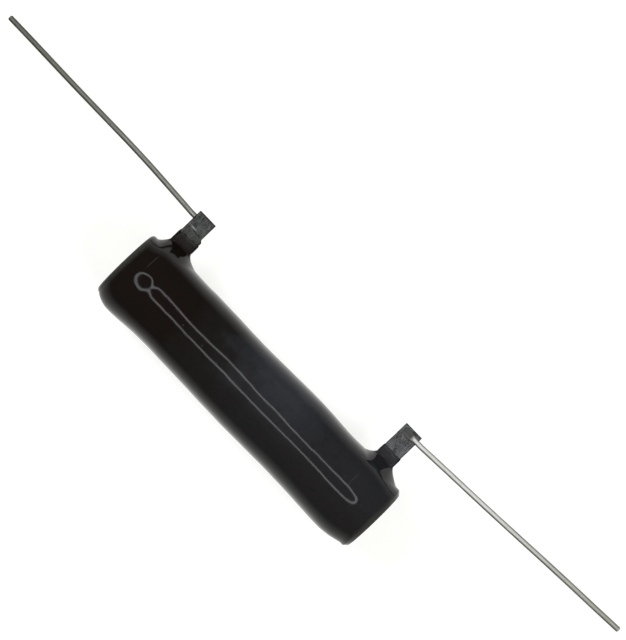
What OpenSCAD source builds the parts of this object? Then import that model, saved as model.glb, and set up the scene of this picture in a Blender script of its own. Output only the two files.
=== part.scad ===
// Tubular wirewound power resistor with welded axial leads.
// The tube's axis is X and its middle is the origin. The tabs point along +Y.
// The part lies on the enamel over its left band and on the tips of its leads,
// which droop from the tabs to that same floor.

/* [Core tube] */
// Length of the ceramic tube
core_len = 50.8; // [46:0.1:60]
// Outside diameter of the ceramic tube
core_od = 11.1; // [10:0.1:13]
// Diameter of the bore through the tube
core_bore = 7.94; // [5:0.01:8.2]
// Chamfer at the mouths of the bore
bore_chamfer = 0.4; // [0.2:0.05:0.8]
// Chamfer round the outside of the left end face
left_chamfer = 0.3; // [0.1:0.05:0.5]
// Chamfer round the outside of the right end face, which is worn rounder
right_chamfer = 0.55; // [0.2:0.05:0.7]

/* [Winding] */
// Diameter of the resistance wire
wire_d = 0.2; // [0.1:0.02:0.3]
// Number of turns between the two bands
turns = 40; // [10:1:60]

/* [Terminals] */
// Width of the strip that each terminal is folded from
strip_width = 3.1; // [2.4:0.1:4.4]
// Thickness of that strip
strip_thick = 0.5; // [0.25:0.05:0.6]
// Middle of the left band, from the left end of the tube
left_inset = 3.7; // [3:0.1:8]
// Middle of the right band, from the right end of the tube
right_inset = 5.15; // [3:0.05:8]
// Height of the left tab's long ply above the tube
left_tab = 7.25; // [6:0.05:10]
// Height of the right tab's long ply above the tube
right_tab = 7.45; // [6:0.05:10]
// Height of each tab's short ply above the tube
short_tab = 4.55; // [4:0.05:5]
// How far the left tab's short ply lies inboard of its long one
ply_shift = 0.35; // [0.1:0.05:0.8]
// Outer radius left where each ply bends away from the band
bend_r = 0.35; // [0.2:0.05:0.7]
// Diameter of the weld electrode's mark on the back of the tab
mark_d = 1.5; // [0.6:0.1:1.6]
// Depth of that mark
mark_depth = 0.06; // [0.03:0.01:0.12]

/* [Enamel coat] */
// Enamel over the winding
winding_cover = 0.27; // [0.15:0.01:0.6]
// Enamel over the left band, where the coat is thickest
left_cover = 0.45; // [0.3:0.01:0.8]
// Enamel over the right band
right_cover = 0.27; // [0.2:0.01:0.8]
// Extra enamel towards the middle of the tube, where it sagged
mid_crown = 0.1; // [0:0.01:0.2]
// Enamel left at the rim of each end
rim_cover = 0.06; // [0.03:0.01:0.15]
// Length over which the coat thins towards the left end
left_run = 2; // [1:0.1:3]
// Length over which the coat thins towards the right end
right_run = 4.4; // [2:0.1:5]
// Height that the enamel climbs up each tab
climb = 2.6; // [2:0.1:3]
// Thickness of the enamel film on the tabs
film = 0.08; // [0.05:0.01:0.15]
// Radius of the enamel fillet on the two faces of each tab
fillet_r = 1.2; // [0.6:0.1:1.5]
// Width along the tube of the fillet inboard of the left tab
left_in_width = 2.4; // [1:0.05:2.8]
// Height of that fillet
left_in_height = 1.15; // [0.6:0.05:1.5]
// Width of the fillet outboard of the left tab, which runs out at the tube's end
left_out_width = 1.4; // [0.8:0.05:1.7]
// Height of that fillet
left_out_height = 1.15; // [0.8:0.05:2]
// Width along the tube of the fillet inboard of the right tab
right_in_width = 1.5; // [0.8:0.05:2]
// Height of that fillet
right_in_height = 1.05; // [0.6:0.05:1.5]
// Width of the fillet outboard of the right tab, which runs out at the tube's end
right_out_width = 2.7; // [1:0.05:3.1]
// Height of that fillet
right_out_height = 1.6; // [1:0.05:2.5]

/* [Leads] */
// Diameter of the lead wire
lead_d = 0.81; // [0.6:0.01:1.1]
// Length of the left lead outside its tab
left_len = 39.7; // [30:0.1:60]
// Length of the right lead outside its tab
right_len = 40.4; // [30:0.1:60]
// Metal left between the wire and the tip of the left tab
left_margin = 0.75; // [0.3:0.05:0.9]
// Metal left between the wire and the tip of the right tab
right_margin = 0.55; // [0.3:0.05:0.9]
// Distance from the tab's inboard edge to the end of the wire
weld_inset = 0.45; // [0.1:0.05:0.8]
// Length of wire that the weld flattened
weld_len = 1.75; // [1:0.05:2.2]
// Height of the flattened wire above the tab
weld_height = 0.58; // [0.45:0.01:0.7]
// Depth that the weld lets the wire into the tab's face
weld_sink = 0.1; // [0.05:0.01:0.2]
// Straight wire between the edge of the tab and the bend
stub = 0.5; // [0.2:0.1:2]
// Radius of that bend, at the middle of the wire
lead_bend_r = 4; // [2:0.5:10]
// Angle at which the left lead splays away from the tube
left_splay = 3; // [1:0.1:6]
// Angle by which the left lead then curves back
left_relax = 2.6; // [0.5:0.1:4]
// Radius of that slow curve
relax_r = 350; // [200:10:450]
// Angle at which the right lead splays away from the tube
right_splay = 3.3; // [1:0.1:6]

/* [Hidden] */

// Which end of the tube something is at
LEFT = -1;
RIGHT = 1;

// Facets of a whole circle, and steps of a fillet's quarter circle
round_fn = 96;
cove_steps = 8;
// Length that a cutting shape runs past what it cuts
over = 1;
// Depth that a blended shape runs into its neighbour, so that the two join
bite = 0.01;
// Length by which stretches of wire overlap, and the step between their radii
lap = 0.05;
micron_step = 0.005;

core_r = core_od / 2;
bore_r = core_bore / 2;
lead_r = lead_d / 2;
wire_r = wire_d / 2;
band_r = core_r + strip_thick;

// The winding fills the tube between the inboard edges of the bands. Its turns
// are chords of a circle, so that circle is a little larger than the tube needs.
turn_steps = 20;
wire_gap = 0.01;
coil_r = (core_r + wire_r + wire_gap) / cos(180 / turn_steps);
pocket_r = coil_r + wire_r + wire_gap;
coil_start = -band_x(LEFT) + strip_width / 2 + wire_gap + wire_r;
coil_end = band_x(RIGHT) - strip_width / 2 - wire_gap - wire_r;

// Outline of the coat: its plain radius, and where it swells and how widely
plain_r = pocket_r + winding_cover;
crest_out = 0.5;
crest_in = 1.2;
left_crest = -band_x(LEFT) - crest_out;
left_spread = 5.2;
right_crest = band_x(RIGHT) - crest_in;
right_spread = 4;
mid_crest = 6;
mid_spread = 14;
rim_gap = 0.05;
coat_steps = 84;
coat_start = -core_len / 2 + left_chamfer + rim_gap;
coat_length = core_len - left_chamfer - right_chamfer - 2 * rim_gap;

// Share of each fillet beside a tab that is a straight slope, not a hollow
in_lean = 0.3;
out_lean = 0.48;

// The sleeve of enamel on a tab covers both plies
sleeve_out = strip_width / 2 + film;
sleeve_half = strip_thick + film;

// Centres of the bends that turn the strip away from the tube
bend_z = strip_thick + bend_r;
bend_y = sqrt((band_r + bend_r) ^ 2 - bend_z ^ 2);

// Where a lead lies on its tab, and the floor that its tip comes down to
lead_z = strip_thick + lead_r - weld_sink;
weld_start = weld_inset - strip_width / 2;
weld_spread = 1.15;
weld_r = lead_r * weld_spread;
floor_z = -max([for (i = [0:coat_steps]) coat_radius(coat_x(i))]);

function inset(side) = side == LEFT ? left_inset : right_inset;
function band_x(side) = core_len / 2 - inset(side);
function reach(side) = core_r + (side == LEFT ? left_tab : right_tab);
function wire_y(side) = reach(side) - (side == LEFT ? left_margin : right_margin) - lead_r;
function lead_len(side) = side == LEFT ? left_len : right_len;
function shift(side) = side == LEFT ? ply_shift : 0;
function sleeve_in(side) = -strip_width / 2 - shift(side) - film;
function splay(side) = side == LEFT ? left_splay : right_splay;
function relax(side) = side == LEFT ? left_relax : 0;

// An eased step from 0 to 1, and an eased hump of height 1 about 0
function ease(t) = t <= 0 ? 0 : t >= 1 ? 1 : t * t * (3 - 2 * t);
function hump(t) = abs(t) >= 1 ? 0 : (1 + cos(180 * t)) / 2;

function coat_x(i) = coat_start + coat_length * i / coat_steps;

// Radius of the coat's outside at a place along the tube
function coat_radius(x) =
    let (
        full = plain_r
            + (band_r + left_cover - plain_r) * hump((x - left_crest) / left_spread)
            + (band_r + right_cover - plain_r) * hump((x - right_crest) / right_spread)
            + mid_crown * hump((x - mid_crest) / mid_spread),
        thin = ease((x + core_len / 2) / left_run) * ease((core_len / 2 - x) / right_run)
    )
    core_r + rim_cover + (full - core_r - rim_cover) * thin;

// The same, at a distance outboard of a band's middle
function coat_near(side, out) = coat_radius(side * (band_x(side) + out));

// Width and height of the fillets inboard and outboard of a tab
function in_fillet(side) =
    side == LEFT ? [left_in_width, left_in_height] : [right_in_width, right_in_height];
function out_fillet(side) =
    side == LEFT ? [left_out_width, left_out_height] : [right_out_width, right_out_height];

// Points of a fillet of that size from its foot up to the sleeve's edge, which is
// at x = 0. Its foot is on the side that the sign gives.
function fillet(size, foot_y, sign, lean) =
    [for (k = [0:cove_steps])
        let (a = 90 * k / cove_steps)
        [sign * size.x * (1 - sin(a)), foot_y + size.y * (lean * sin(a) + (1 - lean) * (1 - cos(a)))]];

// Points of an arc from one angle to another
function arc(centre, r, from, to) =
    [for (k = [0:cove_steps])
        let (a = from + (to - from) * k / cove_steps)
        centre + r * [cos(a), sin(a)]];

function flip(points) = [for (p = points) [p.x, -p.y]];
function backwards(points) = [for (k = [len(points) - 1:-1:0]) points[k]];

// Angle, seen from a bend's centre, at which the tube's axis lies
function axis_angle(y, z) = 180 + atan2(z, y);

// Direction in which a lead leaves its bend: how far it droops below the level,
// the whole angle of the bend, and how far the bend's plane is rolled over
function drop(side) = side * lead_z - lead_r - floor_z;
function sloping_len(side) = lead_len(side) - stub - lead_bend_r * sin(drop_guess(side)) / 2;
function drop_guess(side) = asin(drop(side) / (lead_len(side) - stub));
function droop(side) = asin(drop(side) / sloping_len(side));
function bend_angle(side) = acos(cos(droop(side)) * cos(splay(side)));
function bend_roll(side) = atan2(sin(droop(side)), cos(droop(side)) * sin(splay(side)));

// Lays a shape that was drawn along Z along the tube
module along_x() rotate([0, 90, 0]) children();

// Draws a Y-Z outline, and gives it a length along X
module extrude_x(length) rotate([90, 0, 90]) linear_extrude(length) children();

// Places what is drawn with X outboard of a band's middle at that band
module at_band(side) mirror([side == LEFT ? 1 : 0, 0, 0]) translate([band_x(side), 0, 0]) children();

// Turns what sits on a right tab over, for the left one
module turned(side) mirror([0, 0, side == LEFT ? 1 : 0]) children();

module core_tube() color("linen") along_x() rotate_extrude($fn = round_fn)
    polygon([
        [bore_r, bore_chamfer - core_len / 2],
        [bore_r + bore_chamfer, -core_len / 2],
        [core_r - left_chamfer, -core_len / 2],
        [core_r, left_chamfer - core_len / 2],
        [core_r, core_len / 2 - right_chamfer],
        [core_r - right_chamfer, core_len / 2],
        [bore_r + bore_chamfer, core_len / 2],
        [bore_r, core_len / 2 - bore_chamfer]
    ]);

// One helix of wire. Each step has four corners, and each face is a triangle.
module resistance_winding() {
    sides = 4;
    steps = turns * turn_steps;
    corners = [for (k = [0:sides - 1]) wire_r * [cos(90 * k), sin(90 * k)]];
    points = [
        for (i = [0:steps], c = corners)
            let (a = 360 * i / turn_steps, x = coil_start + (coil_end - coil_start) * i / steps)
            [x + c.x, (coil_r + c.y) * cos(a), (coil_r + c.y) * sin(a)]
    ];
    walls = [
        for (i = [0:steps - 1], k = [0:sides - 1])
            let (a = i * sides + k, b = i * sides + (k + 1) % sides)
            each [[a, a + sides, b], [b, a + sides, b + sides]]
    ];
    last = steps * sides;
    caps = [[0, 1, 2], [0, 2, 3], [last, last + 2, last + 1], [last, last + 3, last + 2]];
    color("dimgray") polyhedron(points, concat(walls, caps));
}

// Section of one ply of a tab, with the outside of its bend, on the +Z side
module ply_section(tip) {
    translate([core_r - over, 0]) square([tip - core_r + over, strip_thick]);
    polygon(concat(
        arc([bend_y, bend_z], bend_r + bite, 270, axis_angle(bend_y, bend_z)),
        [[core_r, 0], [bend_y, 0]]
    ));
}

// Both plies of a tab. The long one is on the +Z side, where the wire is welded.
module plies(side) {
    translate([-strip_width / 2, 0, 0])
        extrude_x(strip_width) ply_section(reach(side));
    translate([-strip_width / 2 - shift(side), 0, 0])
        extrude_x(strip_width) mirror([0, 1]) ply_section(core_r + short_tab);
}

// Three-sided hollow that the two bends leave between them and the tube
module root_hollow(side) {
    inner_r = bend_r + strip_thick;
    lip = 12;
    side_points = arc([bend_y, bend_z], inner_r, 270, axis_angle(bend_y, bend_z) + lip);
    translate([-strip_width / 2 - shift(side) - over, 0, 0])
        extrude_x(strip_width + shift(side) + 2 * over)
        polygon(concat(
            side_points,
            [[core_r - over, side_points[cove_steps].y], [core_r - over, -side_points[cove_steps].y]],
            backwards(flip([for (k = [1:cove_steps]) side_points[k]]))
        ));
}

// One strip: a band round the tube whose ends turn out into a two-ply tab
module terminal(side) color("silver") at_band(side) turned(side) difference() {
    union() {
        translate([-strip_width / 2, 0, 0])
            along_x() cylinder(r = band_r, h = strip_width, $fn = round_fn);
        plies(side);
    }
    translate([-strip_width, 0, 0])
        along_x() cylinder(r = core_r, h = 2 * strip_width, $fn = round_fn);
    root_hollow(side);
    translate([weld_start + weld_len / 2, wire_y(side), -over])
        cylinder(d = mark_d, h = mark_depth + over, $fn = round_fn);
}

module left_terminal() terminal(LEFT);
module right_terminal() terminal(RIGHT);

// The wire on its tab: a flattened weld, then round wire as far as the bend
module welded_end(side) translate([0, wire_y(side), 0]) difference() {
    union() {
        translate([weld_start, 0, 0]) extrude_x(weld_len) intersection() {
            translate([0, lead_z]) circle(r = weld_r, $fn = round_fn);
            translate([-weld_r, 0]) square([2 * weld_r, strip_thick + weld_height]);
        }
        translate([weld_start + weld_len, 0, lead_z])
            straight_wire(strip_width / 2 + stub - weld_start - weld_len);
    }
    translate([-strip_width / 2, -2 * lead_r, 0]) cube([strip_width, 4 * lead_r, strip_thick]);
}

// A bend in the X-Y plane, from +X towards +Y, with its children at its far end.
// It starts a little early, inside the wire before it.
module wire_bend(bend, wire, angle) {
    lap_angle = lap / bend * 180 / PI;
    translate([0, bend, 0])
        rotate_extrude(start = -90 - lap_angle, angle = angle + lap_angle, $fn = round_fn)
        translate([bend, 0]) circle(r = wire, $fn = round_fn);
    translate([bend * sin(angle), bend * (1 - cos(angle)), 0]) rotate([0, 0, angle]) children();
}

// Straight wire that starts a little early, and ends square
module straight_wire(length) translate([-lap, 0, 0])
    along_x() cylinder(r = lead_r, h = length + lap, $fn = round_fn);

// The free wire, from its bend to its tip. A bend is a few microns thinner than
// what overlaps its end, so that no two surfaces there are tangent.
module free_wire(side) {
    bend_len = lead_bend_r * bend_angle(side) * PI / 180;
    relax_len = relax_r * relax(side) * PI / 180;
    straight = lead_len(side) - stub - bend_len - relax_len;
    rotate([-bend_roll(side), 0, 0])
        wire_bend(lead_bend_r, lead_r - 2 * micron_step, bend_angle(side)) {
            if (relax(side) > 0) {
                rotate([180 + bend_roll(side), 0, 0])
                    wire_bend(relax_r, lead_r - micron_step, relax(side)) straight_wire(straight);
            } else {
                straight_wire(straight);
            }
        }
}

module lead(side) color("lightgray") at_band(side) {
    turned(side) welded_end(side);
    translate([strip_width / 2 + stub, wire_y(side), side * lead_z]) free_wire(side);
}

module left_lead() lead(LEFT);
module right_lead() lead(RIGHT);

// Enamel that climbs a tab: a sleeve on its faces and edges, with a fillet at
// its foot. It is what a front outline and a side outline have in common.
module skirt(side) {
    top = coat_near(side, 0) + climb;
    in_size = in_fillet(side);
    out_size = out_fillet(side);
    in_x = sleeve_in(side) - in_size.x;
    out_x = sleeve_out + out_size.x;
    in_side = fillet(in_size, coat_near(side, in_x) - bite, -1, in_lean);
    out_side = fillet(out_size, coat_near(side, out_x) - bite, 1, out_lean);
    foot_z = sleeve_half + fillet_r;
    foot_y = sqrt((coat_near(side, 0) + fillet_r - bite) ^ 2 - foot_z ^ 2);
    flare = arc([foot_y, foot_z], fillet_r, 270, axis_angle(foot_y, foot_z));
    deep = flare[cove_steps].y;
    intersection() {
        translate([0, 0, -2 * foot_z]) linear_extrude(4 * foot_z) polygon(concat(
            [[in_x, 0]],
            [for (p = in_side) [sleeve_in(side) + p.x, p.y]],
            [[sleeve_in(side), top], [sleeve_out, top]],
            [for (p = backwards(out_side)) [sleeve_out + p.x, p.y]],
            [[out_x, 0]]
        ));
        translate([in_x - over, 0, 0])
            extrude_x(out_x - in_x + 2 * over) polygon(concat(
                [[top + over, sleeve_half]],
                flare,
                [[0, deep], [0, -deep]],
                backwards(flip(flare)),
                [[top + over, -sleeve_half]]
            ));
    }
}

// Everything that the coat is fired onto, apart from the tabs
module coated_body() {
    left_in = -band_x(LEFT) + strip_width / 2;
    left_out = -band_x(LEFT) - strip_width / 2;
    right_in = band_x(RIGHT) - strip_width / 2;
    right_out = band_x(RIGHT) + strip_width / 2;
    end = core_len / 2;
    along_x() rotate_extrude($fn = round_fn) polygon([
        [0, -end - over], [core_r - left_chamfer, -end - over], [core_r - left_chamfer, -end],
        [core_r, left_chamfer - end], [core_r, left_out], [band_r, left_out],
        [band_r, left_in], [pocket_r, left_in], [pocket_r, right_in], [band_r, right_in],
        [band_r, right_out], [core_r, right_out], [core_r, end - right_chamfer],
        [core_r - right_chamfer, end], [core_r - right_chamfer, end + over], [0, end + over]
    ]);
}

module enamel_coat() color([0.14, 0.12, 0.11]) difference() {
    union() {
        along_x() rotate_extrude($fn = round_fn) polygon(concat(
            [[0, -core_len / 2], [core_r - left_chamfer + rim_cover, -core_len / 2]],
            [for (i = [0:coat_steps]) [coat_radius(coat_x(i)), coat_x(i)]],
            [[core_r - right_chamfer + rim_cover, core_len / 2], [0, core_len / 2]]
        ));
        for (side = [LEFT, RIGHT]) at_band(side) turned(side) skirt(side);
    }
    coated_body();
    for (side = [LEFT, RIGHT]) at_band(side) turned(side) plies(side);
}

core_tube();
resistance_winding();
left_terminal();
right_terminal();
left_lead();
right_lead();
enamel_coat();
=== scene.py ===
# %% [markdown]
# # An enamelled wirewound resistor
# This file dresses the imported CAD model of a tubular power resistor: a ceramic tube under
# glossy black enamel, with a folded metal tab near each end and a wire lead welded to each
# tab. The CAD model gives every place and size, and this file gives the fine shapes, the
# finishes and the light. All lengths are in metres, and MM turns millimetres into metres.

# %% Load the frame
import math

import bpy
import numpy as np
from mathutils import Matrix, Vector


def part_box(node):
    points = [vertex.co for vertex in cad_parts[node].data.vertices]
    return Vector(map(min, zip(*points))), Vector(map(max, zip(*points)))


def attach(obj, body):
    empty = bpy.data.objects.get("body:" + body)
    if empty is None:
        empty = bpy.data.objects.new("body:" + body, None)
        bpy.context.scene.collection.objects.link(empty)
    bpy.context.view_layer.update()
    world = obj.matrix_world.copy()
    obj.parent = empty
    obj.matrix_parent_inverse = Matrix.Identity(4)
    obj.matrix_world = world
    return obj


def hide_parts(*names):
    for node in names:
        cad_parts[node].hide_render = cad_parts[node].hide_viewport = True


MM = 0.001
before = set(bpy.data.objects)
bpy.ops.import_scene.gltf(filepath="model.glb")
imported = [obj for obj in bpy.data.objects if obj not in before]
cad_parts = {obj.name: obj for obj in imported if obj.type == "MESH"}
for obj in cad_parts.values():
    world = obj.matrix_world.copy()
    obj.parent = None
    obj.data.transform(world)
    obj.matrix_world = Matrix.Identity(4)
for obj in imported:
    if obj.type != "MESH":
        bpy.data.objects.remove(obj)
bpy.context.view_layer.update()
FLOOR_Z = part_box("enamel_coat")[0].z
print("nodes:", ", ".join(sorted(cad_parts)), "floor at", round(FLOOR_Z / MM, 3), "mm")

# %% [markdown]
# ## Sizes that the pieces share
# The tube's axis is X, the tabs point along +Y, and the camera looks down from +Z. Most of
# these numbers repeat the ones that the CAD model was built from, so that every new piece
# sits where its CAD node does. The enamel's rims, its film on the tabs and the top edge of
# that film are set here, from the photograph.

# %% Sizes in millimetres
CORE_R = 5.55
CORE_HALF = 25.4
RIM_X = 25.39
SIDES = ("left", "right")
BAND_X = {"left": -21.7, "right": 20.25}
SIGN = {"left": -1, "right": 1}
STRIP_WIDE, STRIP_THICK = 3.1, 0.5
PLY_SHIFT = {"left": 0.35, "right": 0.0}
TAB_TIP = {"left": 12.8, "right": 13.0}
SHORT_TIP = 10.1
SLEEVE_TOP = {"left": 8.95, "right": 8.75}
FILM = 0.12
WIRE_R = 0.405
WIRE_Y = {"left": 11.645, "right": 12.045}
WIRE_Z = {"left": -0.805, "right": 0.805}

# %% [markdown]
# ## Helpers for modelling
# Every piece starts as a primitive that an operator adds. The coat and the wires are then
# cut into rings by the subdivide operator. Deselecting everything first matters, because
# operators act on all that is selected. Two small functions read and write all the corners of a mesh at once,
# which is how a sculpted form is given its measured section.


# %% Helpers for modelling
def deselect():
    if bpy.context.object and bpy.context.object.mode != "OBJECT":
        bpy.ops.object.mode_set(mode="OBJECT")
    bpy.ops.object.select_all(action="DESELECT")


def name_new(name):
    piece = bpy.context.object
    piece.name = name
    piece.data.name = name
    return piece


def corners(piece):
    found = np.empty(len(piece.data.vertices) * 3)
    piece.data.vertices.foreach_get("co", found)
    return found.reshape(-1, 3) / MM


def set_corners(piece, places):
    piece.data.vertices.foreach_set("co", (np.asarray(places) * MM).ravel())
    piece.data.update()


def cut_lengthwise(piece, cuts):
    """Cuts every edge that runs along X into pieces, once for each number in cuts."""
    deselect()
    piece.select_set(True)
    bpy.context.view_layer.objects.active = piece
    for number in cuts:
        bpy.ops.object.mode_set(mode="EDIT")
        bpy.ops.mesh.select_mode(type="EDGE")
        bpy.ops.mesh.select_all(action="DESELECT")
        bpy.ops.object.mode_set(mode="OBJECT")
        ends = np.empty(len(piece.data.edges) * 2, dtype=np.int32)
        piece.data.edges.foreach_get("vertices", ends)
        x = corners(piece)[:, 0][ends.reshape(-1, 2)]
        piece.data.edges.foreach_set("select", np.abs(x[:, 0] - x[:, 1]) > 1e-4)
        bpy.ops.object.mode_set(mode="EDIT")
        bpy.ops.mesh.subdivide(number_cuts=number)
        bpy.ops.object.mode_set(mode="OBJECT")


def turn_outwards(piece):
    deselect()
    piece.select_set(True)
    bpy.context.view_layer.objects.active = piece
    bpy.ops.object.mode_set(mode="EDIT")
    bpy.ops.mesh.select_all(action="SELECT")
    bpy.ops.mesh.remove_doubles(threshold=1e-7)
    bpy.ops.mesh.normals_make_consistent(inside=False)
    bpy.ops.object.mode_set(mode="OBJECT")


def smooth(piece, degrees=180):
    deselect()
    piece.select_set(True)
    bpy.context.view_layer.objects.active = piece
    if degrees >= 180:
        bpy.ops.object.shade_smooth()
    else:
        bpy.ops.object.shade_smooth_by_angle(angle=math.radians(degrees))


def seat(piece, node, material):
    """Hides the CAD node that the piece stands for, and gives the piece its finish."""
    piece.data.materials.clear()
    piece.data.materials.append(material)
    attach(piece, "root")
    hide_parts(node)
    print(piece.name, len(piece.data.polygons), "faces")


def ease(t):
    t = np.clip(t, 0, 1)
    return t * t * (3 - 2 * t)


# %% [markdown]
# ## Camera
# The photograph looks straight down on the part, which lies turned by about 46 degrees in
# the picture. The camera hangs above the middle of the picture, and its long lens makes the
# tube as large in the frame as it is there.

# %% Camera
CAMERA_HEIGHT = 450
CAMERA_TURN = 46.13
CAMERA_X, CAMERA_Y = -1.02, 13.5
SENSOR = 36
# millimetres that the longer side of the picture takes in at the height of the tube's axis
PICTURE_SPAN = 90.78
bpy.ops.object.camera_add(
    location=(CAMERA_X * MM, CAMERA_Y * MM, CAMERA_HEIGHT * MM),
    rotation=(0, 0, math.radians(CAMERA_TURN)),
)
camera = bpy.context.object
camera.name = "camera"
camera.data.sensor_width = SENSOR
camera.data.lens = SENSOR * CAMERA_HEIGHT / PICTURE_SPAN
camera.data.clip_start, camera.data.clip_end = 0.01, 10
bpy.context.scene.camera = camera
print("camera at", [round(v / MM, 1) for v in camera.location], "mm, lens", round(camera.data.lens, 1))

# %% [markdown]
# ## Node helpers
# A finish is a small graph of nodes. These functions add a node, wire it up by socket name
# and return it, so that each material below reads as a list of what it is made of.


# %% Node helpers
def new_material(name):
    material = bpy.data.materials.new(name)
    material.use_nodes = True
    tree = material.node_tree
    tree.nodes.clear()
    output = tree.nodes.new("ShaderNodeOutputMaterial")
    shader = tree.nodes.new("ShaderNodeBsdfPrincipled")
    tree.links.new(shader.outputs[0], output.inputs["Surface"])
    return material, tree, shader


def node(tree, kind, links=(), **values):
    """Adds a node. A value goes to the property or the input socket of that name."""
    made = tree.nodes.new("ShaderNode" + kind)
    for key, value in values.items():
        if hasattr(made, key):
            setattr(made, key, value)
        else:
            made.inputs[key.replace("_", " ")].default_value = value
    for socket, source in dict(links).items():
        tree.links.new(source, made.inputs[socket])
    return made


def object_place(tree, stretch=(1, 1, 1)):
    """Object coordinates, counted in millimetres."""
    place = node(tree, "TexCoord").outputs["Object"]
    scale = tuple(s / MM for s in stretch)
    return node(tree, "Mapping", {"Vector": place}, Scale=scale).outputs["Vector"]


def speckle(tree, place, size, detail=2.0, rough=0.5):
    """Soft noise whose blobs are about that many millimetres across."""
    made = node(tree, "TexNoise", {"Vector": place}, Scale=1 / size, Detail=detail, Roughness=rough)
    return made.outputs["Fac"]


def ramp(tree, source, low, high, to_low=0.0, to_high=1.0):
    made = node(tree, "MapRange", {"Value": source}, clamp=True)
    for key, value in (("From Min", low), ("From Max", high), ("To Min", to_low), ("To Max", to_high)):
        made.inputs[key].default_value = value
    return made.outputs["Result"]


def blend(tree, factor, first, second):
    """Mixes two colours, each given as numbers or as a socket."""
    made = tree.nodes.new("ShaderNodeMix")
    made.data_type = "RGBA"
    tree.links.new(factor, made.inputs[0])
    for socket, colour in ((made.inputs[6], first), (made.inputs[7], second)):
        if isinstance(colour, tuple):
            socket.default_value = (*colour, 1)
        else:
            tree.links.new(colour, socket)
    return made.outputs[2]


def math_node(tree, operation, first, second):
    made = tree.nodes.new("ShaderNodeMath")
    made.operation = operation
    for socket, value in ((made.inputs[0], first), (made.inputs[1], second)):
        if isinstance(value, (int, float)):
            socket.default_value = value
        else:
            tree.links.new(value, socket)
    return made.outputs[0]


def plus_share(tree, value, other, share):
    """A value with a share of another one added, such as noise that makes a line wander."""
    return math_node(tree, "ADD", value, math_node(tree, "MULTIPLY", other, share))


def length_of(tree, vector):
    return node(tree, "VectorMath", {"Vector": vector}, operation="LENGTH").outputs["Value"]


def near(tree, value, middle, full, none):
    """1 within full of the middle and 0 beyond none."""
    away = math_node(tree, "ABSOLUTE", math_node(tree, "SUBTRACT", value, middle), 0)
    return ramp(tree, away, full, none, 1, 0)


def bump(tree, height, depth_mm, below=None):
    made = node(tree, "Bump", {"Height": height}, Strength=1.0, Distance=depth_mm * MM)
    if below is not None:
        tree.links.new(below, made.inputs["Normal"])
    return made.outputs["Normal"]


# %% [markdown]
# ## Enamel finish
# Vitreous enamel is glass fired onto the tube. It is nearly black: brown at the left end,
# and greyer towards the right, with a pale bluish haze over the middle of the side that
# the tabs are on. It is very smooth, but the surface has a faint peel, and pin holes where
# gas came out. The glass is a plain Principled shader of low roughness. Its colour, its
# roughness and its small relief come from noise and from the place on the tube.

# %% Enamel finish
enamel_finish, tree, shader = new_material("dark_enamel")
place = object_place(tree)
parts = node(tree, "SeparateXYZ", {"Vector": place}).outputs
drift = math_node(tree, "MULTIPLY", math_node(tree, "SUBTRACT", speckle(tree, place, 4, 3), 0.5), 14)
along = math_node(tree, "ADD", parts["X"], drift)
brown, umber = (0.0068, 0.0041, 0.0030), (0.0100, 0.0086, 0.0076)
slate, haze = (0.0135, 0.0121, 0.0125), (0.030, 0.032, 0.038)
taupe, smoke = (0.0105, 0.0095, 0.0090), (0.0175, 0.0178, 0.0205)
free_side = blend(tree, ramp(tree, along, -15, -8), brown, umber)
free_side = blend(tree, ramp(tree, along, -7, 1), free_side, slate)
tab_side = blend(tree, ramp(tree, along, -15, -7), brown, taupe)
tab_side = blend(tree, ramp(tree, along, -7, -1), tab_side, haze)
tab_side = blend(tree, ramp(tree, along, 5, 12), tab_side, smoke)
wander = plus_share(tree, parts["Y"], drift, 0.12)
tone = blend(tree, ramp(tree, wander, -2.4, 3.6), free_side, tab_side)
mottle = ramp(tree, speckle(tree, place, 0.9, 4), 0.3, 0.7, 0.86, 1.14)
tone = blend(tree, mottle, (0, 0, 0), tone)
# two faint light lines across the top of the tube, painted reflections of a light along each bulge's crest,
# and one larger pit beside the right tab
for x_at, y_at, reach in ((-22.45, 3.0, 1.1), (18.98, 2.0, 1.2)):
    thin = near(tree, plus_share(tree, parts["X"], drift, 0.015), x_at, 0.03, 0.13)
    faint = math_node(tree, "MULTIPLY", thin, near(tree, parts["Y"], y_at, reach * 0.6, reach * 1.3))
    painted_reflection = math_node(tree, "MULTIPLY", faint, ramp(tree, parts["Z"], 0, 1))
    # the pale colour of these lines is the painted reflection
    tone = blend(tree, math_node(tree, "MULTIPLY", painted_reflection, 0.35), tone, (0.055, 0.052, 0.050))
# the coat is paler towards its rims
rim = math_node(tree, "ABSOLUTE", plus_share(tree, parts["X"], drift, 0.05), 0)
tone = blend(tree, ramp(tree, rim, 24.4, 25.2, 0, 0.8), tone, (0.052, 0.051, 0.043))
pit = node(tree, "Mapping", {"Vector": place}, Location=(-17.7, -5.27, -3.35)).outputs["Vector"]
pit = ramp(tree, length_of(tree, pit), 0.12, 0.24)
tone = blend(tree, pit, (0.001, 0.001, 0.001), tone)
tree.links.new(tone, shader.inputs["Base Color"])
rough = ramp(tree, speckle(tree, place, 1.5, 4), 0.3, 0.7, 0.05, 0.10)
# the thin film on the tabs fired duller than the thick coat
rough = math_node(tree, "ADD", rough, ramp(tree, parts["Y"], 7.2, 7.8, 0, 0.14))
tree.links.new(rough, shader.inputs["Roughness"])
shader.inputs["IOR"].default_value = 1.52
pin_holes = node(tree, "TexVoronoi", {"Vector": place}, Scale=0.42, Randomness=1.0).outputs["Distance"]
holes = math_node(tree, "MULTIPLY", ramp(tree, pin_holes, 0.02, 0.06), pit)
peel = bump(tree, speckle(tree, place, 1.4, 1.0), 0.006)
tree.links.new(bump(tree, holes, 0.02, peel), shader.inputs["Normal"])
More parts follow.
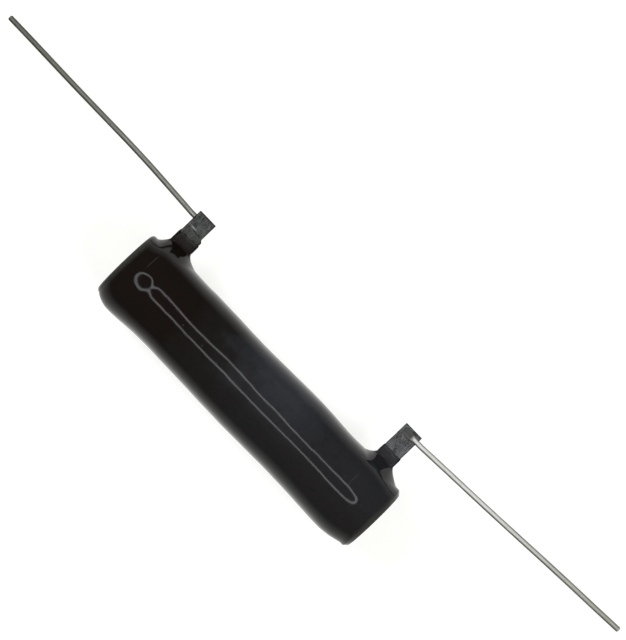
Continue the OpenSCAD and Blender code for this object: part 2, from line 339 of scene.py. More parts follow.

# %% [markdown]
# ## Metal finishes
# The folded strips are a nickel alloy that went dark and stained in the enamelling furnace. They keep a
# rolled, slightly glossy face with mottled patches, sheared edges that are darker, and a round mark where the
# welding electrode pressed. On the left strip a painted highlight stands for the glint along the short ply's
# sheared tip.
# The leads are tinned copper: brighter, a little yellow, with drawing lines along the wire, and grey where
# the weld flattened them. Painted shade darkens their flanks, and makes the left lead darker than the right.
# All are Principled shaders and fully metallic, except the two leads, whose plating is less so, on the right
# one most of all.


# %% Metal finishes
STRIP_TONES = {  # the dark and the light patches of each strip
    "left": ((0.09, 0.09, 0.08), (0.24, 0.25, 0.24)),
    "right": ((0.15, 0.15, 0.15), (0.34, 0.34, 0.36)),
}


def strip_finish(side):
    material, tree, shader = new_material("terminal_strip_" + side)
    place = object_place(tree)
    parts = node(tree, "SeparateXYZ", {"Vector": place}).outputs
    shake = math_node(tree, "SUBTRACT", speckle(tree, place, 0.8, 3), 0.5)
    x = plus_share(tree, parts["X"], shake, 0.25)
    y = plus_share(tree, parts["Y"], shake, 0.45)
    slanted = node(tree, "Mapping", {"Vector": place}, Rotation=(0, 0, 0.7), Scale=(1, 0.45, 1))
    patches = ramp(tree, speckle(tree, slanted.outputs["Vector"], 0.7, 5, 0.65), 0.38, 0.66)
    tone = blend(tree, patches, *STRIP_TONES[side])
    # the sheared edges and the tip are darker
    inside = near(tree, x, BAND_X[side], STRIP_WIDE / 2 - 0.14, STRIP_WIDE / 2 + 0.02)
    tip = ramp(tree, y, TAB_TIP[side] - 0.30, TAB_TIP[side] - 0.05)
    tone = blend(tree, inside, (0.06, 0.06, 0.05), tone)
    tone = blend(tree, tip, tone, (0.07, 0.07, 0.065))
    fine = speckle(tree, object_place(tree, (1, 0.3, 1)), 0.22, 3)
    rough = plus_share(tree, ramp(tree, fine, 0.3, 0.7, 0.20, 0.30), patches, 0.10)
    if side == "left":
        # this short ply is darker in front, and a painted highlight runs along its sheared tip
        slant = plus_share(tree, y, parts["X"], 0.11)
        short = ramp(tree, slant, SHORT_TIP - 2.42, SHORT_TIP - 2.22)
        short = math_node(tree, "SUBTRACT", 1, short)
        on_front = math_node(tree, "MULTIPLY", short, ramp(tree, parts["Z"], 0.3, 0.4))
        tone = blend(tree, math_node(tree, "MULTIPLY", on_front, 0.6), tone, (0.13, 0.13, 0.12))
        # painted highlight: a bright line along the short ply's sheared tip, where its edge catches the light
        glint_row = near(tree, y, SHORT_TIP + 0.24, 0.06, 0.2)
        glint_span = near(tree, x, BAND_X[side] - 0.5, 0.15, 0.8)
        painted_glint = math_node(tree, "MULTIPLY", glint_row, glint_span)
        tone = blend(tree, painted_glint, tone, (0.85, 0.85, 0.82))
        rough = plus_share(tree, rough, painted_glint, 0.25)
    tree.links.new(tone, shader.inputs["Base Color"])
    tree.links.new(rough, shader.inputs["Roughness"])
    shader.inputs["Metallic"].default_value = 1
    # the electrode's round mark, and a soft waviness
    spot = node(tree, "CombineXYZ", {"X": parts["X"], "Y": parts["Y"]}).outputs["Vector"]
    centre = (-BAND_X[side] + SIGN[side] * 0.25, -WIRE_Y[side], 0)
    spot = node(tree, "Mapping", {"Vector": spot}, Location=centre).outputs["Vector"]
    mark = ramp(tree, plus_share(tree, length_of(tree, spot), shake, 0.5), 0.45, 1.0)
    wavy = bump(tree, speckle(tree, place, 1.2, 2), 0.05)
    tree.links.new(bump(tree, fine, 0.006, bump(tree, mark, 0.035, wavy)), shader.inputs["Normal"])
    return material


def wire_material(name, clean, stained, rough_low, rough_high, metallic, weld_and_shade):
    material, tree, shader = new_material(name)
    place = object_place(tree)
    lines = speckle(tree, object_place(tree, (0.05, 1, 1)), 0.2, 2)
    stain = ramp(tree, speckle(tree, object_place(tree, (0.25, 1, 1)), 1.6, 3), 0.45, 0.8)
    tone = blend(tree, stain, clean, stained)
    if weld_and_shade:
        along = node(tree, "SeparateXYZ", {"Vector": place}).outputs["X"]
        away = math_node(tree, "ABSOLUTE", along, 0)
        # the weld is dark
        tone = blend(tree, ramp(tree, away, 20.6, 21.2), (0.07, 0.07, 0.07), tone)
        # the plating is duller towards the far ends
        tone = blend(tree, ramp(tree, away, 34, 58), tone, (0.50, 0.50, 0.43))
        # painted shade: the wire is darker towards its flanks, where its sides turn from the light
        flank = node(tree, "Attribute", attribute_name="flank").outputs["Fac"]
        flank = plus_share(tree, flank, math_node(tree, "SUBTRACT", stain, 0.5), 0.2)
        tone = blend(tree, near(tree, flank, 0.05, 0.25, 0.85), (0.11, 0.11, 0.09), tone)
    tree.links.new(tone, shader.inputs["Base Color"])
    tree.links.new(ramp(tree, lines, 0.3, 0.7, rough_low, rough_high), shader.inputs["Roughness"])
    shader.inputs["Metallic"].default_value = metallic
    tree.links.new(bump(tree, lines, 0.0015), shader.inputs["Normal"])
    return material


# The left lead's tones are darker than the right's; that difference is painted shade.
WIRE_TONES = {  # the clean and the stained metal of each lead, and how metallic it looks
    "left": ((0.84, 0.84, 0.75), (0.58, 0.58, 0.49), 0.80),
    "right": ((0.96, 0.96, 0.92), (0.84, 0.84, 0.78), 0.35),
}
strip_finishes = {side: strip_finish(side) for side in SIDES}
wire_finishes = {
    side: wire_material("tinned_wire_" + side, clean, stained, 0.26, 0.36, metallic, True)
    for side, (clean, stained, metallic) in WIRE_TONES.items()
}
winding_finish = wire_material(
    "resistance_wire", (0.32, 0.31, 0.29), (0.18, 0.17, 0.15), 0.30, 0.42, 1.0, False
)

# %% [markdown]
# ## Ceramic finish
# The tube itself shows only at its ends and in its bore: unglazed off-white ceramic with
# a fine grain, a few dark specks and a warm stain from the firing. Round the rim of each
# end the brush left some enamel on it.

# %% Ceramic finish
ceramic_finish, tree, shader = new_material("tube_ceramic")
place = object_place(tree)
clay = blend(tree, speckle(tree, place, 2.5, 4), (0.62, 0.58, 0.50), (0.74, 0.71, 0.64))
specks = ramp(tree, speckle(tree, place, 0.22, 1.0), 0.70, 0.78)
clay = blend(tree, specks, clay, (0.25, 0.21, 0.16))
# enamel that slopped over the rim of each end
spread = node(tree, "Mapping", {"Vector": place}, Scale=(0, 1, 1)).outputs["Vector"]
ragged = plus_share(tree, length_of(tree, spread), speckle(tree, place, 1.3, 3), 0.8)
slop = ramp(tree, ragged, 5.16, 5.24)
tree.links.new(blend(tree, slop, clay, (0.012, 0.010, 0.009)), shader.inputs["Base Color"])
tree.links.new(ramp(tree, slop, 0, 1, 0.72, 0.12), shader.inputs["Roughness"])
tree.links.new(bump(tree, speckle(tree, place, 0.12, 3.0), 0.02), shader.inputs["Normal"])

for node_name, finish in (("core_tube", ceramic_finish), ("resistance_winding", winding_finish)):
    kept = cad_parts[node_name]
    kept.data.materials.clear()
    kept.data.materials.append(finish)
print("kept from the CAD model: core_tube, resistance_winding")

# %% [markdown]
# ## Enamel coat: its section along the tube
# The coat was brushed on and sagged a little before it was fired, so it isn't a perfect
# cylinder. It swells over the two bands, most of all at the left, and thins towards both
# ends. Its section is given at a few places along X for the top and for each side, and a
# smoothing pass turns those broken lines into a soft curve.

# %% Enamel coat: its section along the tube
TOP = [(-25.4, 5.30), (-25.15, 5.46), (-24.75, 5.72), (-24.4, 5.92), (-24.13, 6.085), (-23.7, 6.249),
       (-23.3, 6.337), (-22.8, 6.396), (-22.2, 6.428), (-21.7, 6.435), (-21.2, 6.425), (-20.7, 6.394),
       (-20.3, 6.351), (-19.8, 6.270), (-19.4, 6.203), (-19, 6.156), (-18.6, 6.130), (-18.1, 6.115),
       (-17.2, 6.106), (-14, 6.10), (-5, 6.12), (6, 6.19), (12, 6.18), (15.8, 6.23), (18.6, 6.285),
       (19.6, 6.300), (20.4, 6.303), (20.9, 6.299), (21.3, 6.289), (21.54, 6.277), (21.9, 6.246),
       (22.4, 6.178), (23, 6.07), (23.65, 5.932), (24.2, 5.782), (24.7, 5.60), (25.1, 5.36), (25.4, 5.10)]
TAB_SIDE = [(-25.4, 5.10), (-25.2, 5.38), (-24.9, 5.55), (-24.4, 5.64), (-23.9, 5.76), (-23.3, 5.98),
            (-22.5, 6.28), (-21.5, 6.42), (-20.1, 6.38), (-18.7, 6.27), (-17.3, 6.23), (-14.5, 6.17),
            (-13, 6.22), (-8.8, 6.19), (-3.1, 6.10), (0, 6.18), (4, 6.31), (8.3, 6.39), (11, 6.31),
            (14, 6.17), (15.4, 6.15), (18, 6.26), (20, 6.28), (21, 6.22), (22, 6.08), (23, 5.85),
            (24, 5.63), (24.43, 5.56), (24.7, 5.50), (25, 5.38), (25.2, 5.22), (25.4, 5.0)]
FREE_SIDE = [(-25.4, 5.24), (-25.2, 5.44), (-24.9, 5.68), (-24.37, 6.02), (-23.9, 6.22),
             (-23, 6.46), (-22.2, 6.499), (-21.5, 6.49),
             (-20.1, 6.40), (-18.7, 6.24), (-17.3, 6.13), (-14.4, 6.05), (-11, 6.11), (-7.3, 6.13),
             (-4.5, 6.20), (0, 6.25), (4, 6.18), (9.6, 6.08), (12.5, 6.11), (15.3, 6.18),
             (18.2, 6.30), (19.6, 6.32), (21, 6.29), (22.4, 6.10), (23.9, 5.72), (24.5, 5.52),
             (24.9, 5.38), (25.2, 5.18), (25.4, 4.98)]
UNDERSIDE = [(-25.4, 5.26), (-25.2, 5.46), (-24.9, 5.70), (-24.6, 5.95), (-23.6, 6.32), (-22.2, 6.497),
             (-21, 6.45), (-19.5, 6.28), (-17, 6.12), (-8, 6.14), (4, 6.22), (14, 6.17), (19, 6.33),
             (21, 6.30), (23, 6.06), (24.4, 5.68), (24.9, 5.46), (25.2, 5.22), (25.4, 5.0)]
FINE_X = np.arange(-27, 27, 0.05)


def section(points, spread=0.26):
    x, r = np.array(points).T
    reach = np.arange(-20, 21) * 0.05
    kernel = np.exp(-((reach / spread) ** 2) / 2)
    # past the ends the section runs on in a straight line, so that smoothing keeps the rim
    x = np.concatenate([[x[0] - 3], x, [x[-1] + 3]])
    first, last = (r[1] - r[0]) / (x[2] - x[1]), (r[-1] - r[-2]) / (x[-2] - x[-3])
    r = np.concatenate([[r[0] - 3 * first], r, [r[-1] + 3 * last]])
    rough = np.interp(FINE_X, x, r)
    return np.convolve(np.pad(rough, 20, mode="edge"), kernel / kernel.sum(), "valid")


SECTIONS = [section(points) for points in (TOP, TAB_SIDE, FREE_SIDE, UNDERSIDE)]
# how far the crest leans to one side, and how far it swells, every 2 mm along the tube
CREST = [section(list(zip(np.arange(-21.5, 23, 2.0), values)), 0.8) for values in (
    (0, 0.02, 0.047, -0.008, -0.075, -0.072, -0.07, -0.03, 0.043, 0.06, 0.046, -0.042, -0.039, -0.034, -0.012,
     -0.012, -0.004, 0.042, 0.013, 0.03, 0, -0.01, 0),
    (0, 0.1, 0.42, 0.14, 0.09, -0.06, 0.15, 0.24, 0.3, 0.42, 0.22, 0, 0, 0, -0.08, -0.46, -0.38, -0.2, -0.12,
     0.18, 0.12, 0.06, 0),
)]
# Width, height, power and inward reach of the slope inboard of each tab and of the one
# outboard, and then its height at the tab's middle
TENTS = {
    "left": ((2.3, 0.79, 1.5, 1.0), (1.15, 0.84, 1.25, 0.75), 0.96),
    "right": ((1.5, 0.756, 1.5, 1.0), (2.3, 0.92, 1.25, 0.95), 1.0),
}
RIDGE = 0.09
# The flattened top of the left bulge: its depth, place and half length in millimetres,
# and how far it leans and how wide it is round the tube in radians
FLAT_DEEP, FLAT_X, FLAT_LONG, FLAT_LEAN, FLAT_WIDE = 0.145, -21.6, 1.7, 0.05, 0.30
CHAMFER = {"left": 0.3, "right": 0.55}
SKIN = 0.05


def tent(x, angle, r):
    """Stretches the coat from the tube up to a ridge beside each tab, in straight lines."""
    away = np.angle(np.exp(1j * (angle - np.pi / 2)))
    for side in SIDES:
        inner, outer, middle = TENTS[side]
        rise = middle
        out = SIGN[side] * (x - BAND_X[side])
        for gap, (wide, high, power, reach) in (
            (out - STRIP_WIDE / 2 - FILM, outer),
            (-out - STRIP_WIDE / 2 - FILM - PLY_SHIFT[side], inner),
        ):
            slope = high * np.clip(1 - gap / wide, 0, 1) ** power
            inwards = high + (middle - high) * (1 - np.clip(1 + gap / reach, 0, 1) ** 2)
            rise = np.minimum(rise, np.where(gap > 0, slope, inwards))
        foot = np.arccos(np.clip(r / (r + rise), -1, 1))
        soft = foot + RIDGE * np.clip(foot / 0.12, 0, 1) - np.sqrt(away**2 + RIDGE**2)
        r = r / np.cos(np.clip(soft, 0, 1.2))
    return r


def coat_radius(x, angle):
    """Radius of the coat. The angle is 0 at the top and 90 degrees towards the tabs."""
    up, out = np.cos(angle), np.sin(angle)
    shares = [np.clip(way, 0, 1) ** 2 for way in (up, out, -out, -up)]
    r = sum(share * np.interp(x, FINE_X, profile) for share, profile in zip(shares, SECTIONS))
    # the top of the left bulge is flatter than the rest of the tube
    across = np.angle(np.exp(1j * angle))
    flat = FLAT_DEEP * np.exp(-(((x - FLAT_X) / FLAT_LONG) ** 4))
    r = r + flat * (1 - np.exp(-(((across + FLAT_LEAN) / FLAT_WIDE) ** 2))) * shares[0]
    # brush marks and sagging: a few long, shallow waves
    lip = ease((RIM_X - np.abs(x)) / 1.8)
    waves = (
        0.0050 * np.sin(x * 1.31 + 2.1 * np.sin(angle * 2))
        + 0.0040 * np.sin(x * 0.67 - 3 * angle + 1.0)
        + 0.0022 * np.sin(x * 2.9 + 5 * angle)
    )
    # slower waves, which lean the crest to one side or flatten it
    lean, swell = (np.interp(x, FINE_X, profile) for profile in CREST)
    twice = np.sin(2 * angle)
    r = r + lip * (waves + (up > 0) * (lean * twice / 2 + swell * twice**2 / 4))
    # the enamel hangs like a tent between the tube and the edges of each tab
    r = tent(x, angle, r)
    # it never thins to less than a skin over the tube and its bevelled rims
    past_bevel = CORE_HALF + np.minimum(x - CHAMFER["left"], -x - CHAMFER["right"])
    skin = CORE_R + np.minimum(past_bevel, 0) + SKIN
    return (r + skin + np.sqrt((r - skin) ** 2 + 0.0016)) / 2


print("coat over the left band:", round(float(coat_radius(-22.2, 0.0)), 3), "mm at the top")

# %% [markdown]
# ## Enamel coat: where it climbs the tabs
# Before firing, the wet enamel crept up the root of each tab. It left a wide fillet at the
# foot, a thin film on the metal and a rounded edge at the top. The mesh rows beside each
# tab are gathered up into that shape: a point's distance from the tab's outline says how
# far up the wall or the fillet it goes.

# %% Enamel coat: where it climbs the tabs
WALL = 0.4
FILLETS = {  # (width, height) inboard, outboard, and on the tab's two faces
    "left": ((0.65, 0.31), (0.65, 0.22), (0.55, 0.15)),
    "right": ((0.65, 0.29), (0.65, 0.24), (0.55, 0.15)),
}
LEAN = 0.1
CREEP = 1.7
BEAD = 0.3
BURIED = 0.35
EDGE_ROUND, FOOT_ROUND = 0.38, 0.58


def outline_gap(p, half, rounding):
    """Distance from a tab's rounded outline, and the direction straight away from it."""
    q = np.abs(p) - (half - rounding)
    beyond = np.maximum(q, 0)
    length = np.linalg.norm(beyond, axis=1)
    gap = length + np.minimum(np.max(q, axis=1), 0) - rounding
    direction = np.where(
        length[:, None] > 1e-9,
        beyond / np.maximum(length, 1e-9)[:, None],
        np.stack([q[:, 0] >= q[:, 1], q[:, 0] < q[:, 1]], axis=1).astype(float),
    ) * np.sign(p)
    return gap, direction


def climb_tab(side, x, y, z):
    """Moves the points beside one tab. Points further off stay where they are."""
    sign, (inner, outer, face) = SIGN[side], FILLETS[side]
    out = sign * (x - BAND_X[side])
    low, high = -STRIP_WIDE / 2 - PLY_SHIFT[side] - FILM, STRIP_WIDE / 2 + FILM
    half = np.array([(high - low) / 2, STRIP_THICK + FILM])
    p = np.stack([out - (high + low) / 2, z], axis=1)
    # round the foot the outline's corners are rounder than they are on the tab
    gap, direction = outline_gap(p, half, EDGE_ROUND)
    foot_off, foot_way = outline_gap(p, half, FOOT_ROUND)
    mix = ease((gap - WALL * 0.6) / (WALL * 0.8))[:, None]
    direction = direction * (1 - mix) + foot_way * mix
    direction /= np.linalg.norm(direction, axis=1)[:, None]
    gap = gap * (1 - mix[:, 0]) + foot_off * mix[:, 0]
    share = direction[:, 0] ** 2
    outwards = direction[:, 0] > 0
    width = share * np.where(outwards, outer[0], inner[0]) + (1 - share) * face[0]
    height = share * np.where(outwards, outer[1], inner[1]) + (1 - share) * face[1]
    lean = LEAN * share

    beside = (y > 0) & (gap < width) & (np.abs(x) <= RIM_X + 1e-6)
    bend = np.pi / 2 * (1 - np.clip((gap - WALL) / (width - WALL), 0, 1))
    foot_gap = width * (1 - np.sin(bend))
    foot_rise = height * (lean * np.sin(bend) + (1 - lean) * (1 - np.cos(bend)))
    up = np.clip((WALL - gap) / WALL, 0, 1) ** CREEP

    # first the place on the outline, then the coat's own surface under the new place
    new = p + direction * (np.where(gap > WALL, foot_gap, 0) - gap)[:, None]
    new = np.where((gap > 0)[:, None], new, p)
    new_x = BAND_X[side] + sign * (new[:, 0] + (high + low) / 2)
    angle = np.arctan2(y, z)
    for _ in range(3):
        r = coat_radius(new_x, angle)
        angle = np.arccos(np.clip(new[:, 1] / r, -1, 1))
    base = np.sqrt(np.maximum(r**2 - new[:, 1] ** 2, 0))
    edge = SLEEVE_TOP[side] + meniscus(side, new[:, 0] + (high + low) / 2, new[:, 1])
    wall_y = base + height + (edge - base - height) * up
    new_y = np.where(gap > WALL, base + foot_rise, wall_y)
    # the film thins to a rounded edge at the top of the wall
    high_up = np.clip((new_y - (edge - BEAD)) / BEAD, 0, 1)
    thin = FILM * 0.9 * (1 - np.sqrt(1 - high_up**2))
    new_x = new_x - sign * direction[:, 0] * thin * (gap > 0)
    new_z = new[:, 1] - direction[:, 1] * thin * (gap > 0)
    # inside the outline the coat ends in the metal, a little below its edge
    new_y = np.where(gap > 0, new_y, edge - BURIED * ease(-gap / 0.2))
    return (
        np.where(beside, new_x, x),
        np.where(beside, new_y, y),
        np.where(beside, new_z, z),
    )


def meniscus(side, out, z):
    """How far the coat's edge on the tab lies above or below its usual height."""
    if side == "left":
        bare = 1.1 * ease((out - 0.75) / 0.8) * ease(z / 0.3)
        return 0.10 - 0.25 * np.exp(-(((out + 0.15) / 0.55) ** 2)) - bare
    return 0.06 * np.cos(out * 2.3 + 1.1) + 0.04 * np.cos(out * 5.1)


# %% [markdown]
# ## Enamel coat: the piece
# It starts as an open cylinder of 256 sides whose long edges are cut twice, into 306
# rings. The rings are then drawn together near the tabs, where the form is fine, and the
# sides are drawn together along the tab's line for the same reason. Both rims are pulled
# in to the tube and bridged through it, so that the coat is a closed shell.

# %% Enamel coat: the piece
COAT_SIDES = 256
RIM_INWARDS = 0.968
deselect()
bpy.ops.mesh.primitive_cylinder_add(
    vertices=COAT_SIDES, radius=6 * MM, depth=2 * RIM_X * MM, end_fill_type="NOTHING",
    rotation=(0, math.pi / 2, 0),
)
bpy.ops.object.transform_apply(location=False, rotation=True, scale=True)
enamel = name_new("enamel")
cut_lengthwise(enamel, (16, 17))


def crowd(values, low, high, spots):
    """Spreads even values from low to high unevenly: closer together near each spot."""
    fine = np.linspace(low, high, 4001)
    density = 1 + sum(
        strength * np.exp(-(((fine - spot) / reach) ** 4)) for spot, reach, strength in spots
    )
    filled = np.concatenate([[0], np.cumsum((density[1:] + density[:-1]) / 2)])
    even = np.linspace(0, 1, len(fine)) * filled[-1]
    wanted = np.interp((values - low) / (high - low), np.linspace(0, 1, len(fine)), even)
    return np.interp(wanted, filled, fine)


x, y, z = corners(enamel).T
x = crowd(x, -RIM_X, RIM_X, ((-22.0, 4.4, 2.6), (21.2, 5.0, 2.6)))
around = crowd(np.arctan2(y, z) % (2 * np.pi), 0, 2 * np.pi, ((np.pi / 2, 0.42, 3.2),))
radius = coat_radius(x, around)
x, y, z = x, radius * np.sin(around), radius * np.cos(around)
for side in SIDES:
    x, y, z = climb_tab(side, x, y, z)
set_corners(enamel, np.stack([x, y, z], axis=1))

bpy.ops.object.mode_set(mode="EDIT")
bpy.ops.mesh.select_mode(type="EDGE")
bpy.ops.mesh.select_all(action="DESELECT")
bpy.ops.mesh.select_non_manifold()
bpy.ops.mesh.extrude_region_move()
bpy.ops.transform.resize(value=(1, RIM_INWARDS, RIM_INWARDS))
bpy.ops.mesh.bridge_edge_loops()
bpy.ops.object.mode_set(mode="OBJECT")
turn_outwards(enamel)
smooth(enamel, 60)
seat(enamel, "enamel_coat", enamel_finish)

# %% [markdown]
# ## Terminals
# Each terminal is one strip that wraps the tube under the enamel and leaves it as two
# plies, one longer than the other. The rows of a flat grid are laid along the strip's
# middle line: down the long ply, once round the tube and out again as the short ply, just
# as the strip was folded. A solidify modifier gives it its thickness, and a small bevel
# rounds the cut edges.


# %% Terminals
ROOT_Y = 6.35
SNIP_SLANT, SNIP_CORNER = 0.17, 0.35


def strip_section(side):
    """The middle line of the strip, from tip to tip, as (y, z) places."""
    flip = SIGN[side]
    rows = []
    long_z, short_z = flip * STRIP_THICK / 2, -flip * STRIP_THICK / 2
    band = CORE_R + STRIP_THICK / 2
    for t in np.linspace(0, 1, 22):
        rows.append((TAB_TIP[side] + (ROOT_Y - TAB_TIP[side]) * t, long_z, 0.0))
    for a in np.linspace(10, 350, 69):
        turn = math.radians(90 - a) if flip > 0 else math.radians(90 + a)
        rows.append((band * math.sin(turn), band * math.cos(turn), -PLY_SHIFT[side] * (a - 10) / 340))
    for t in np.linspace(0, 1, 14):
        rows.append((ROOT_Y + (SHORT_TIP - ROOT_Y) * t, short_z, -PLY_SHIFT[side]))
    return rows


def make_terminal(side):
    rows = strip_section(side)
    deselect()
    bpy.ops.mesh.primitive_grid_add(x_subdivisions=8, y_subdivisions=len(rows) - 1, size=1)
    terminal = name_new(side + "_strip")
    flat = corners(terminal) * MM
    across = flat[:, 0] * STRIP_WIDE
    which = np.rint((flat[:, 1] + 0.5) * (len(rows) - 1)).astype(int)
    path = np.array(rows)[which]
    if side == "left":
        # the short ply was snipped askew, and one corner is clipped
        tip = np.clip((which - len(rows) + 4) / 3, 0, 1)
        clipped = np.clip((-across - STRIP_WIDE / 2 + 0.4) / 0.4, 0, 1)
        path[:, 0] += tip * (SNIP_SLANT * across / (STRIP_WIDE / 2) - SNIP_CORNER * clipped)
    x = BAND_X[side] + SIGN[side] * (across + path[:, 2])
    set_corners(terminal, np.stack([x, path[:, 0], path[:, 1]], axis=1))
    wall = terminal.modifiers.new("thickness", "SOLIDIFY")
    wall.thickness = STRIP_THICK * MM * 0.99
    wall.offset = 0
    wall.use_even_offset = True
    round_off = terminal.modifiers.new("edges", "BEVEL")
    round_off.width = 0.09 * MM
    round_off.segments = 3
    round_off.limit_method = "ANGLE"
    round_off.angle_limit = math.radians(60)
    for modifier in ("thickness", "edges"):
        bpy.ops.object.modifier_apply(modifier=modifier)
    turn_outwards(terminal)
    smooth(terminal, 40)
    seat(terminal, side + "_terminal", strip_finishes[side])


for side in SIDES:
    make_terminal(side)

# %% [markdown]
# ## Leads
# Each lead is a wire that was pressed and welded flat across its tab, and then runs on
# with a small bend down to the surface that the part lies on. A cylinder is cut into rings
# along its length, and each ring is carried along the wire's own path.

# %% Leads
# Straight part over the tab, bend, slow curve and last stretch in millimetres, and then
# splay at first, splay at last and droop in degrees. The right wire has no slow curve.
LEADS = {
    "left": (3.15, 0.583, 15.88, 22.73, 3.0, 0.372, 7.81),
    "right": (3.15, 0.735, 0.001, 39.16, 3.30, 3.30, 10.046),
}
WELD_LONG, WELD_HIGH, WELD_WIDE = 1.75, 0.46, 0.56
SWAY = 0.035


def wire_path(side, s):
    """Place and direction of the wire's middle at each length along it."""
    flat, turn, slow, last, splay, relaxed, droop = LEADS[side]
    fine = np.linspace(0, flat + turn + slow + last, 4001)
    bent = np.clip((fine - flat) / turn, 0, 1)
    eased = np.clip((fine - flat - turn) / slow, 0, 1)
    yaw = np.radians(splay * bent + (relaxed - splay) * eased)
    pitch = np.radians(droop) * bent
    level = np.cos(pitch)
    ahead = [SIGN[side] * level * np.cos(yaw), level * np.sin(yaw), -np.sin(pitch)]
    ahead = np.stack(ahead, axis=1)
    step = fine[1] - fine[0]
    start = [BAND_X[side] - SIGN[side] * 1.1, WIRE_Y[side], WIRE_Z[side]]
    steps = (ahead[1:] + ahead[:-1]) / 2 * step
    place = start + np.concatenate([np.zeros((1, 3)), np.cumsum(steps, axis=0)])
    # a wire is never quite straight
    free = ease((fine - 5) / 8) * ease((fine[-1] - fine) / 9)
    place[:, 1] += SWAY * np.sin(fine * 0.21 + 1.3 * SIGN[side]) * free
    return [
        np.stack([np.interp(s, fine, table[:, k]) for k in range(3)], axis=1)
        for table in (place, ahead)
    ]


def make_lead(side):
    total = sum(LEADS[side][:4])
    deselect()
    bpy.ops.mesh.primitive_cylinder_add(
        vertices=32, radius=WIRE_R * MM, depth=total * MM, end_fill_type="NGON", rotation=(0, math.pi / 2, 0)
    )
    bpy.ops.object.transform_apply(location=False, rotation=True, scale=True)
    lead = name_new(side + "_wire")
    cut_lengthwise(lead, (14, 14))
    x, y, z = corners(lead).T
    s = crowd(x + total / 2, 0, total, ((0.0, 3.6, 8.0), (total, 0.5, 8.0)))
    middle, ahead = wire_path(side, s)
    sideways = np.cross([0, 0, 1], ahead)
    sideways /= np.linalg.norm(sideways, axis=1)[:, None]
    upwards = np.cross(ahead, sideways)
    # the ends are rounded a little by the cutters
    end = np.minimum(s, total - s)
    slim = 1 - 0.22 * (1 - ease(end / 0.12))
    # the weld flattened the wire and pressed it into the tab
    pressed = 1 - ease((s - WELD_LONG + 0.3) / 0.9)
    away = SIGN[side]
    wide = y * slim * (1 + (WELD_WIDE / WIRE_R - 1) * pressed)
    tall = z * slim
    limit = STRIP_THICK + WELD_HIGH - abs(WIRE_Z[side])
    squashed = limit * np.tanh(away * tall / limit * 1.25)
    tall = tall + (away * np.where(away * tall > 0, squashed, away * tall * 0.8) - tall) * pressed
    set_corners(lead, middle + sideways * wide[:, None] + upwards * tall[:, None])
    turn_outwards(lead)
    smooth(lead, 50)
    # each point's place across the wire, from flank to flank, which the lead's finish uses to paint shade on
    # the flanks
    flank = lead.data.attributes.new("flank", "FLOAT", "POINT")
    flank.data.foreach_set("value", y / WIRE_R * SIGN[side])
    seat(lead, side + "_lead", wire_finishes[side])


for side in SIDES:
    make_lead(side)

# %% [markdown]
# ## Floor
# The part lies on a plain white surface. The camera sees it glow evenly, as a lit card
# does, and in reflections it glows beside the part and fades further off. Its diffuse
# part still takes the shadow.

# %% Floor
POOL_HALF, POOL_REACH, POOL_FLOOR = 17, 11.8, 0.07
SEEN_GLOW = 0.72
deselect()
bpy.ops.mesh.primitive_plane_add(size=4, location=(0, 0, FLOOR_Z))
floor = name_new("floor")
card, tree, shader = new_material("white_card")
shader.inputs["Roughness"].default_value = 1
shader.inputs["Specular IOR Level"].default_value = 0
parts = node(tree, "SeparateXYZ", {"Vector": object_place(tree)}).outputs
# the pool of light fades with the distance from a line along the middle of the tube, and
# fades twice as fast past the ends of that line
from_middle = math_node(tree, "ABSOLUTE", parts["X"], 0)
past_end = math_node(tree, "MAXIMUM", math_node(tree, "SUBTRACT", from_middle, POOL_HALF), 0)
past_end = math_node(tree, "MULTIPLY", past_end, 2.0)
spot = node(tree, "CombineXYZ", {"X": past_end, "Y": parts["Y"]}).outputs["Vector"]
pool = math_node(tree, "DIVIDE", POOL_REACH, length_of(tree, spot))
pool = math_node(tree, "MINIMUM", math_node(tree, "ADD", pool, POOL_FLOOR), 1.0)
rays = node(tree, "LightPath")
mirrored = math_node(tree, "MAXIMUM", rays.outputs["Is Glossy Ray"], rays.outputs["Is Transmission Ray"])
glow = math_node(tree, "MULTIPLY", mirrored, pool)
glow = plus_share(tree, glow, rays.outputs["Is Camera Ray"], SEEN_GLOW)
shader.inputs["Emission Color"].default_value = (1, 1, 0.97, 1)
tree.links.new(glow, shader.inputs["Emission Strength"])
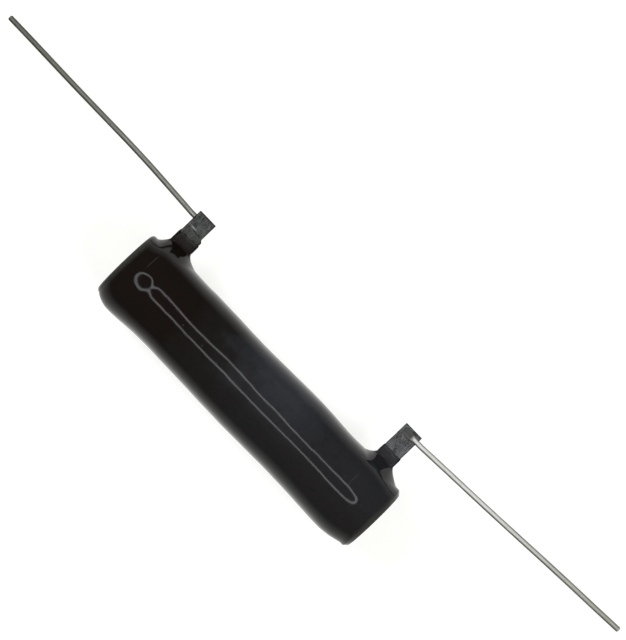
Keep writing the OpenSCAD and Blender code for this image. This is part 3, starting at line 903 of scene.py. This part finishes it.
tree.links.new(blend(tree, mirrored, (0.4, 0.4, 0.4), (0.02, 0.02, 0.02)), shader.inputs["Base Color"])
floor.data.materials.append(card)

# %% [markdown]
# ## Light
# The photograph was lit by a ring light round the lens, whose reflection is the thin loop
# along the top of the tube. The ring here is a torus that glows, out of the camera's own
# sight. Two soft lamps beyond the ends of the part, which don't show in reflections, give
# the even light that a white tent would.


# %% Light
def glowing(name, colour, strength):
    """A surface that only glows."""
    material, tree, shader = new_material(name)
    shader.inputs["Base Color"].default_value = (0, 0, 0, 1)
    shader.inputs["Specular IOR Level"].default_value = 0
    shader.inputs["Emission Color"].default_value = (*colour, 1)
    shader.inputs["Emission Strength"].default_value = strength
    return material


RING_X, RING_Y, RING_HEIGHT = -1, 5, 300
RING_R, RING_THICK = 74.5, 11
# the lamps' places and size are in metres, and their power in watts
LAMP_OUT, LAMP_Y, LAMP_SIZE, LAMP_POWER = 0.36, 0.02, 0.3, 1.9
deselect()
bpy.ops.mesh.primitive_torus_add(
    major_radius=RING_R * MM, minor_radius=RING_THICK * MM, major_segments=96, minor_segments=24,
    location=(RING_X * MM, RING_Y * MM, RING_HEIGHT * MM),
)
ring = name_new("ring_light")
ring.data.materials.append(glowing("ring_glow", (0.96, 0.98, 1.0), 2.15))
ring.visible_camera = False

for side in SIDES:
    deselect()
    bpy.ops.object.light_add(
        type="AREA", location=(SIGN[side] * LAMP_OUT, LAMP_Y, LAMP_OUT),
        rotation=(0, SIGN[side] * math.radians(45), 0),
    )
    lamp = bpy.context.object
    lamp.name = "soft_" + side
    lamp.data.shape = "RECTANGLE"
    lamp.data.size, lamp.data.size_y = LAMP_SIZE, LAMP_SIZE
    lamp.data.energy = LAMP_POWER
    lamp.visible_glossy = False

world = bpy.data.worlds.new("studio")
bpy.context.scene.world = world
world.use_nodes = True
world.node_tree.nodes["Background"].inputs["Color"].default_value = (0.97, 0.99, 1.0, 1)
world.node_tree.nodes["Background"].inputs["Strength"].default_value = 0.08
bpy.context.scene.view_settings.view_transform = "Standard"
